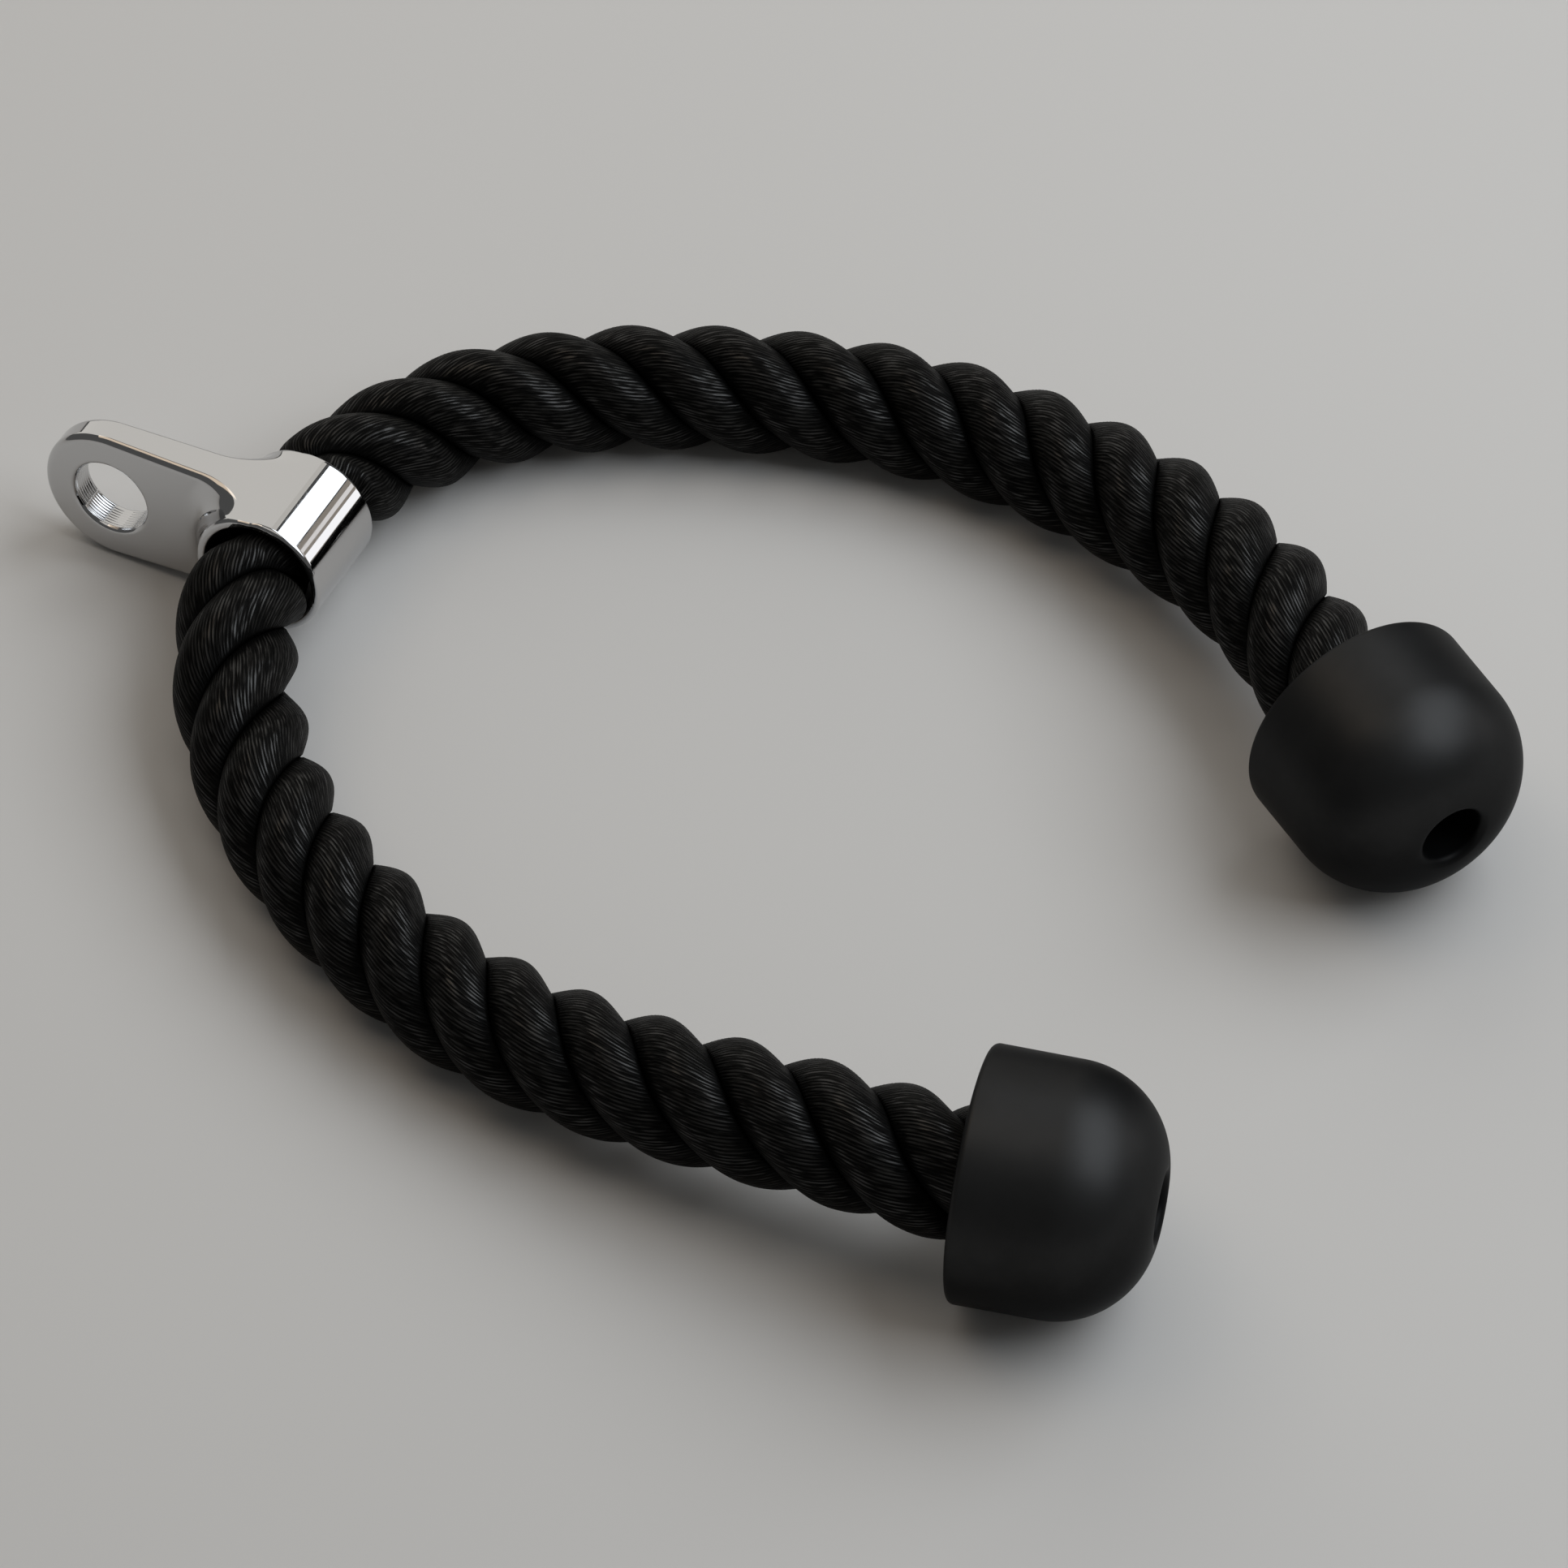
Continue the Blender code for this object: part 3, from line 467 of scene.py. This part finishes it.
ARMS = (
    ("far", 1, HALVES_GAP, far_mouth + ROPE_IN_CAP, 420),
    ("near", -1, near_mouth - ROPE_IN_CAP, -HALVES_GAP, 380),
)
for arm, way, first, last, rows in ARMS:
    s = np.linspace(first, last, int((last - first) / ROUTE_STEP))
    line = middle_line(s)
    mesh = bpy.data.meshes.new(arm + "_rope")
    mesh.from_pydata(line.tolist(), [(i, i + 1) for i in range(len(line) - 1)], [])
    for name, values in (("station", s), ("outer", rope_radius(s))):
        mesh.attributes.new(name, "FLOAT", "POINT").data.foreach_set("value", values.astype(np.float32))
    rope = bpy.data.objects.new(arm + "_rope", mesh)
    bpy.context.scene.collection.objects.link(rope)
    sweep = rope.modifiers.new("laid_rope", "NODES")
    sweep.node_group = rope_tree
    for name, (kind, value) in ROPE_INPUTS.items():
        sweep[rope_sockets[name].identifier] = rows if name == "Rows" else value
    swept = rope.evaluated_get(bpy.context.evaluated_depsgraph_get())
    rope.data = bpy.data.meshes.new_from_object(swept)
    rope.modifiers.clear()
    bend_start, bend_end = middle_line(way * np.array([HALF_TUBE, BEND_END]))
    arm + "_arm"
    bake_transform(rope)
    held = ["strand_%d_%s" % (i + 1, arm) for i in range(STRANDS)]
    if arm == "far":
        held += ["strand_%d_middle" % (i + 1) for i in range(STRANDS)]
    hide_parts(*held)
    walk = line if arm == "far" else line[::-1]
    walk[::4].tolist() + [walk[-1].tolist()]

# The collar: one zinc casting, polished and chromed, of a short tube round the rope and a flat plate with a
# round eye. Hollow flares run from the tube's mouths to the plate, polishing rounds every edge, and the
# tube's bore is rougher, its colour darkened to a painted shade.
TUBE_RADIUS = 0.0159
BORE_RADIUS = 0.0138
EYE_DROOP = math.radians(2.2)
EYE_REACH = 0.0443
EYE_RADIUS = 0.01775
EYE_HOLE_RADIUS = 0.0096
PLATE_ROOT_HALF = 0.0049
PLATE_TIP_HALF = 0.0036
FLARE_RADIUS = HALF_TUBE - PLATE_ROOT_HALF
FLARE_LAND = 0.0003
MOUTH_ROUND = 0.0007
MOUTH_CORNER = 0.0010
BACK_RELIEF = 0.0030
BACK_RUN = 0.0030
RIM_ROUND = 0.0018
HOLE_ROUND = 0.0012
CASTING_GRAIN = 0.00045
PULLS_TO_SURFACE = 8
REAMED_RING = 0.0008
POLISH_STRETCH = (150, 12, 150)
CHROME_COLOUR = (0.56, 0.56, 0.565)
# The bore's dark colour is a painted shade inside the tube.
BORE_SHADE_COLOUR = (0.05, 0.05, 0.05)
BORE_DULLNESS = 0.4
CHROME_SHARP = 0.03
CHROME_SMEARED = 0.09
collar_place = Matrix.Translation((ROUTE[COLLAR_POINT][0], ROUTE[COLLAR_POINT][1], TUBE_AXIS_HEIGHT))
collar_place @= Matrix.Rotation(-TUBE_TILT, 4, "X") @ Matrix.Rotation(-EYE_DROOP, 4, "Y")


def rounded(a, b, radius):
    """Distance to what two shapes share, the edge between them rounded."""
    outside = np.hypot(np.maximum(radius + a, 0), np.maximum(radius + b, 0))
    return np.minimum(np.maximum(a, b), -radius) + outside


def flared(a, b, radius):
    """Distance to two shapes together, the corner between them filled with a hollow flare."""
    inside = np.hypot(np.maximum(radius - a, 0), np.maximum(radius - b, 0))
    return np.maximum(np.minimum(a, b), radius) - inside


def casting_distance(points):
    """How far points in the casting's own axes lie outside its polished surface."""
    x, y, z = points.T
    radius = np.hypot(x, z)
    root = TUBE_RADIUS + FLARE_LAND + FLARE_RADIUS
    draft = (PLATE_ROOT_HALF - PLATE_TIP_HALF) / (EYE_REACH + EYE_RADIUS - root)
    plate = (np.abs(y) - PLATE_ROOT_HALF + draft * np.maximum(radius - root, 0)) * math.cos(draft)
    body = flared(radius - TUBE_RADIUS - FLARE_LAND, plate, FLARE_RADIUS)
    lean = (TUBE_RADIUS - EYE_RADIUS) / EYE_REACH
    rise = math.sqrt(1 - lean * lean)
    along = -lean * np.abs(z) - rise * x
    side = rise * np.abs(z) - lean * x - TUBE_RADIUS
    side = np.where(along < 0, radius - TUBE_RADIUS, side)
    side = np.where(along > rise * EYE_REACH, np.hypot(x + EYE_REACH, z) - EYE_RADIUS, side)
    body = body - BACK_RELIEF * ease((BACK_RUN - along) / (2 * BACK_RUN))
    body = rounded(body, side, RIM_ROUND)
    body = rounded(body, np.abs(y) - HALF_TUBE, MOUTH_CORNER)
    body = rounded(body, BORE_RADIUS - radius, MOUTH_ROUND)
    return rounded(body, EYE_HOLE_RADIUS - np.hypot(x + EYE_REACH, z), HOLE_ROUND)


def slope_of(points):
    """The direction in which the distance grows, which is the surface's normal."""
    step = 0.00001
    steps = step * np.eye(3)
    grown = [casting_distance(points + along) - casting_distance(points - along) for along in steps]
    grown = np.stack(grown, axis=1)
    return grown / np.maximum(np.linalg.norm(grown, axis=1, keepdims=True), 1e-12)


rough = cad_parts["eye_collar"].data.copy()
rough.transform(collar_place.inverted())
rough_bm = bmesh.new()
rough_bm.from_mesh(rough)
bmesh.ops.remove_doubles(rough_bm, verts=rough_bm.verts, dist=0.000001)
rough_bm.to_mesh(rough)
rough_bm.free()
collar = bpy.data.objects.new("chromed_collar", rough)
bpy.context.scene.collection.objects.link(collar)
grain = collar.modifiers.new("grain", "REMESH")
grain.mode = "VOXEL"
grain.voxel_size = CASTING_GRAIN
collar.data = bpy.data.meshes.new_from_object(collar.evaluated_get(bpy.context.evaluated_depsgraph_get()))
collar.modifiers.clear()
surface = np.empty(len(collar.data.vertices) * 3)
collar.data.vertices.foreach_get("co", surface)
surface = surface.reshape(-1, 3)
for _ in range(PULLS_TO_SURFACE):
    surface = surface - casting_distance(surface)[:, None] * slope_of(surface)
normals = slope_of(surface)
collar.data.vertices.foreach_set("co", surface.ravel())
own_axes = collar.data.attributes.new("casting", "FLOAT_VECTOR", "POINT")
own_axes.data.foreach_set("vector", surface.astype(np.float32).ravel())
collar.data.update()
collar.data.shade_smooth()
collar.data.transform(collar_place)
turned_normals = normals @ np.array(collar_place.to_3x3()).T
collar.data.normals_split_custom_set_from_vertices(turned_normals.tolist())

chrome_finish, chrome_shader, nodes = finish_of("chrome_plate", CHROME_COLOUR, 0.05, 1.0)
cast_at = nodes.add("ShaderNodeAttribute", {"attribute_name": "casting"}, output="Vector")
smear = nodes.add("ShaderNodeTexNoise", {}, {
    "Vector": cast_at, "Scale": 160.0, "Detail": 4.0, "Roughness": 0.6})
drawn = nodes.add("ShaderNodeVectorMath", {"operation": "MULTIPLY"}, {0: cast_at, 1: POLISH_STRETCH})
wave = nodes.add("ShaderNodeTexNoise", {}, {"Vector": drawn, "Scale": 1.0, "Detail": 2.0, "Roughness": 0.5})
polished = nodes.add("ShaderNodeBump", {}, {"Strength": 0.08, "Distance": 0.0004, "Height": wave})
cast_x = nodes.add("ShaderNodeSeparateXYZ", {}, {"Vector": cast_at})
cast_y, cast_z = [Wire(nodes.tree, cast_x.socket.node.outputs[axis]) for axis in ("Y", "Z")]
from_eye = nodes.math("SQRT", (cast_x + EYE_REACH) * (cast_x + EYE_REACH) + cast_z * cast_z)
from_axis = nodes.math("SQRT", cast_x * cast_x + cast_z * cast_z)
# Inside the bore the chrome is rougher and painted near black, a painted shade inside the tube.
in_bore = from_axis.eased(BORE_RADIUS + 0.0001, BORE_RADIUS + 0.0006, 1.0, 0.0)
feed(chrome_shader, "Base Color", nodes.add("ShaderNodeMix", {"data_type": "RGBA"}, {
    "Factor": in_bore, "A": (*CHROME_COLOUR, 1.0), "B": (*BORE_SHADE_COLOUR, 1.0)}, "Result"))
smeared = smear.eased(0.45, 0.75, CHROME_SHARP, CHROME_SMEARED)
feed(chrome_shader, "Roughness", smeared + in_bore * BORE_DULLNESS)
in_eye = from_eye.eased(EYE_HOLE_RADIUS, EYE_HOLE_RADIUS + 0.0005, 1.0, 0.0)
ring = nodes.math("SINE", (cast_y + wave * 0.0002) * (2 * math.pi / REAMED_RING))
feed(chrome_shader, "Normal", nodes.add("ShaderNodeBump", {}, {
    "Strength": 1.0, "Distance": 0.00003, "Height": ring * in_eye, "Normal": polished}))
collar.data.materials.clear()
collar.data.materials.append(chrome_finish)
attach(collar, "collar")
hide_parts("eye_collar")

# The rubber caps: one moulded for each end of the rope, a short cylinder with a broad round shoulder, a bore
# for the rope in its mouth and a recess in its tip, at whose bottom the coach screw and its washer hold it.
# They lie on their sides; their coat fades towards the bottom, a painted shade on their undersides.
CAP_LENGTH = 0.0422
CAP_TAPER = math.radians(0.3)
CAP_SHOULDER_RADIUS = 0.0222
CAP_LIP_ROUND = 0.0016
CAP_BORE_RADIUS = 0.0162
CAP_BORE_DEPTH = 0.0222
RECESS_RADIUS = 0.0074
RECESS_DEPTH = 0.0150
RECESS_LIP_ROUND = 0.0018
SCREW_HOLE_RADIUS = 0.0034
RECESS_FLOOR_ROUND = 0.0006
CAP_STEPS = 144
RUBBER_DARK = (0.0030, 0.0032, 0.0034, 1)
RUBBER_PALE = (0.0055, 0.0057, 0.0060, 1)
# The cap's coat at the bottom and the heights over which it grows back: a painted shade on the underside.
CAP_UNDERSIDE_SHADE_COAT = 0.12
UNDERSIDE_SHADE_LOW = 0.016
UNDERSIDE_SHADE_HIGH = 0.046
UNDERSIDE_SHADE_WANDER = 0.012


def arc(centre, radius, start, end, steps):
    """Points on an arc, both ends included."""
    turns = np.linspace(start, end, steps + 1)
    return [(centre[0] + radius * math.cos(t), centre[1] + radius * math.sin(t)) for t in turns]


side = math.pi / 2 - CAP_TAPER
shoulder_at = CAP_LENGTH - CAP_SHOULDER_RADIUS
side_radius = CAP_MOUTH_RADIUS - (shoulder_at + CAP_SHOULDER_RADIUS * math.cos(side)) * math.tan(CAP_TAPER)
shoulder_middle = side_radius - CAP_SHOULDER_RADIUS * math.sin(side)
bulge = CAP_SHOULDER_RADIUS - RECESS_LIP_ROUND
recess_edge = RECESS_RADIUS + RECESS_LIP_ROUND
dip = math.asin(max(recess_edge - shoulder_middle, 0) / bulge)
recess_floor = CAP_LENGTH - RECESS_DEPTH
cap_line = arc((CAP_LIP_ROUND, CAP_MOUTH_RADIUS - CAP_LIP_ROUND), CAP_LIP_ROUND, math.pi, side, 8)
lip_end = cap_line[-1]
shoulder = arc((shoulder_at, shoulder_middle), CAP_SHOULDER_RADIUS, side, dip, 40)
for share in (0.25, 0.5, 0.75):
    cap_line.append(tuple(np.array(lip_end) * (1 - share) + np.array(shoulder[0]) * share))
cap_line += shoulder
recess_turn = (shoulder_at + bulge * math.cos(dip), recess_edge)
cap_line += arc(recess_turn, RECESS_LIP_ROUND, dip, -math.pi / 2, 10)[1:]
floor_turn = (recess_floor + RECESS_FLOOR_ROUND, RECESS_RADIUS - RECESS_FLOOR_ROUND)
cap_line += arc(floor_turn, RECESS_FLOOR_ROUND, math.pi / 2, math.pi, 3)
cap_line += [(recess_floor, SCREW_HOLE_RADIUS), (CAP_BORE_DEPTH, SCREW_HOLE_RADIUS)]
cap_line += [(CAP_BORE_DEPTH, CAP_BORE_RADIUS)]
cap_line += arc((CAP_LIP_ROUND, CAP_BORE_RADIUS + CAP_LIP_ROUND), CAP_LIP_ROUND, -math.pi / 2, -math.pi, 6)

rubber_finish, rubber_shader, nodes = finish_of("black_moulded_rubber", (0.006, 0.0062, 0.0064), 0.42)
at = nodes.add("ShaderNodeTexCoord", output="Object")
skin = nodes.add("ShaderNodeTexNoise", {}, {"Vector": at, "Scale": 2600.0, "Detail": 2.0, "Roughness": 0.6})
bloom = nodes.add("ShaderNodeTexNoise", {}, {"Vector": at, "Scale": 55.0, "Detail": 4.0, "Roughness": 0.6})
feed(rubber_shader, "Base Color", nodes.add("ShaderNodeValToRGB", {
    "stops": ((0.35, RUBBER_DARK), (0.70, RUBBER_PALE))}, {"Fac": bloom}))
rubber_shader.inputs["Specular IOR Level"].default_value = 0.03
rubber_shader.inputs["Coat Roughness"].default_value = 0.45
toward_eye = 1 - nodes.add("ShaderNodeLayerWeight", {}, {"Blend": 0.5}, "Facing")
at_height = nodes.add("ShaderNodeSeparateXYZ", {}, {"Vector": at}, "Z")
# The coat fades towards the bottom of each cap, a painted shade on its underside.
underside_shade = (at_height + (bloom - 0.5) * UNDERSIDE_SHADE_WANDER).eased(UNDERSIDE_SHADE_LOW, UNDERSIDE_SHADE_HIGH, CAP_UNDERSIDE_SHADE_COAT, 1.0)
feed(rubber_shader, "Coat Weight", toward_eye * toward_eye * (bloom * 0.3 + 0.85) * underside_shade)
feed(rubber_shader, "Roughness", bloom * 0.14 + skin * 0.06 + 0.34)
feed(rubber_shader, "Normal", nodes.add("ShaderNodeBump", {}, {
    "Strength": 0.22, "Distance": 0.0001, "Height": skin}))
for arm, mouth_at, inward in (("far", far_mouth, -ROUTE_STEP), ("near", near_mouth, ROUTE_STEP)):
    mouth, before = [Vector(point) for point in middle_line(np.array([mouth_at, mouth_at + inward]))]
    outward = Vector((mouth.x - before.x, mouth.y - before.y, 0)).normalized()
    up = Vector((0, 0, 1))
    seat = Matrix.Translation(mouth) @ Matrix((up.cross(outward), up, outward)).transposed().to_4x4()
    cap_bm = bmesh.new()
    ring = [cap_bm.verts.new((radius, 0, depth)) for depth, radius in cap_line]
    edges = [cap_bm.edges.new((a, b)) for a, b in zip(ring, ring[1:] + ring[:1])]
    bmesh.ops.spin(cap_bm, geom=ring + edges, axis=(0, 0, 1), cent=(0, 0, 0), angle=2 * math.pi,
                   steps=CAP_STEPS)
    bmesh.ops.remove_doubles(cap_bm, verts=cap_bm.verts, dist=0.000001)
    bmesh.ops.recalc_face_normals(cap_bm, faces=cap_bm.faces)
    bmesh.ops.transform(cap_bm, matrix=seat, verts=cap_bm.verts)
    cap_mesh = bpy.data.meshes.new(arm + "_cap")
    cap_bm.to_mesh(cap_mesh)
    cap_bm.free()
    cap_mesh.shade_smooth()
    cap_mesh.set_sharp_from_angle(angle=math.radians(40))
    cap_mesh.materials.append(rubber_finish)
    cap = bpy.data.objects.new(arm + "_cap", cap_mesh)
    bpy.context.scene.collection.objects.link(cap)
    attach(cap, arm + "_arm")
    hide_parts(arm + "_rubber_cap")

# The fixings inside each cap: a zinc-plated crimp ring pressed round the rope's end, a zinc-plated washer on
# the recess floor, and a black coach screw driven through both into the heart of the rope.
ZINC_DARK = (0.36, 0.36, 0.35, 1)
ZINC_PALE = (0.50, 0.50, 0.49, 1)
OXIDE_DARK = (0.022, 0.022, 0.023, 1)
OXIDE_RUBBED = (0.075, 0.074, 0.072, 1)
zinc_finish, zinc_shader, nodes = finish_of("zinc_plate", (0.42, 0.42, 0.41), 0.32, 1.0)
at = nodes.add("ShaderNodeTexCoord", output="Object")
spangle = nodes.add("ShaderNodeTexVoronoi", {}, {"Vector": at, "Scale": 900.0}, "Distance")
feed(zinc_shader, "Roughness", spangle * 0.25 + 0.24)
feed(zinc_shader, "Base Color", nodes.add("ShaderNodeValToRGB", {
    "stops": ((0.0, ZINC_DARK), (1.0, ZINC_PALE))}, {"Fac": spangle}))
oxide_finish, oxide_shader, nodes = finish_of("black_oxide", (0.035, 0.035, 0.036), 0.45, 1.0)
at = nodes.add("ShaderNodeTexCoord", output="Object")
rub = nodes.add("ShaderNodeTexNoise", {}, {"Vector": at, "Scale": 420.0, "Detail": 3.0, "Roughness": 0.6})
feed(oxide_shader, "Roughness", rub * 0.3 + 0.3)
feed(oxide_shader, "Base Color", nodes.add("ShaderNodeValToRGB", {
    "stops": ((0.4, OXIDE_DARK), (0.75, OXIDE_RUBBED))}, {"Fac": rub}))
FIXINGS = (("crimp_ring", zinc_finish), ("washer", zinc_finish), ("coach_screw", oxide_finish))
for arm in ("near", "far"):
    for part, finish in FIXINGS:
        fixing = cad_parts[arm + "_" + part]
        if not fixing.material_slots:
            fixing.data.materials.append(finish)
        for holder in fixing.material_slots:
            holder.material = finish
